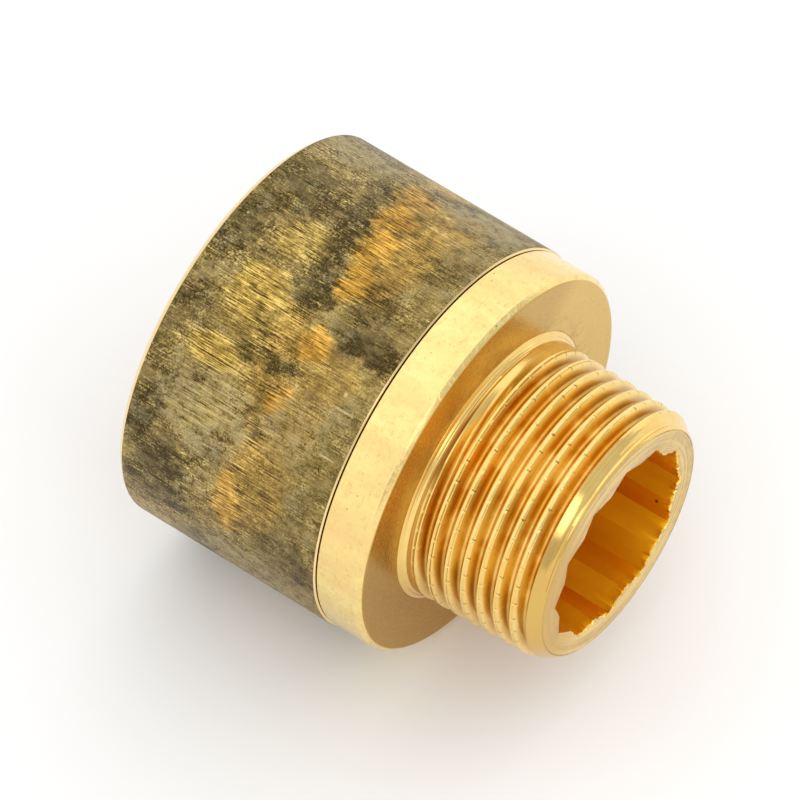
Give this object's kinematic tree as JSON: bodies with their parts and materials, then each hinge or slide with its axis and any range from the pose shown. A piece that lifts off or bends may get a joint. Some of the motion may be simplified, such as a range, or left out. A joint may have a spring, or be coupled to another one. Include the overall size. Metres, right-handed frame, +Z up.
{
  "type": "union fitting",
  "caption": "Short metal union: taper male thread with a multi-point key bore, pressed stop ring, and a free-turning female-threaded sleeve sealed by a flat gasket.",
  "frame": {"origin": "on the fitting's axis at the stop ring's front face, where the male end begins", "axes": "+X along the axis towards the male end, +Z up with the fitting lying on its side"},
  "size_m": [0.0425, 0.04, 0.04],
  "materials": {
    "sleeve_skin": "raw mill skin, dark and mottled with golden patches and fine lengthways streaks",
    "turned_metal": "bright machined, with fine turning lines",
    "ring_metal": "fine turned and lightly polished, pale golden",
    "gasket_rubber": "matt black sheet rubber"
  },
  "bodies": {
    "tail": {"threaded_tail": "turned_metal", "stop_ring": "ring_metal", "flat_gasket": "gasket_rubber"},
    "sleeve": {"coupling_sleeve": "sleeve_skin"}
  },
  "joints": [
    {"name": "sleeve_turn", "type": "hinge", "parent": "tail", "child": "sleeve", "pos_m": [0, 0, 0], "axis": [1, 0, 0], "continuous": true}
  ]
}
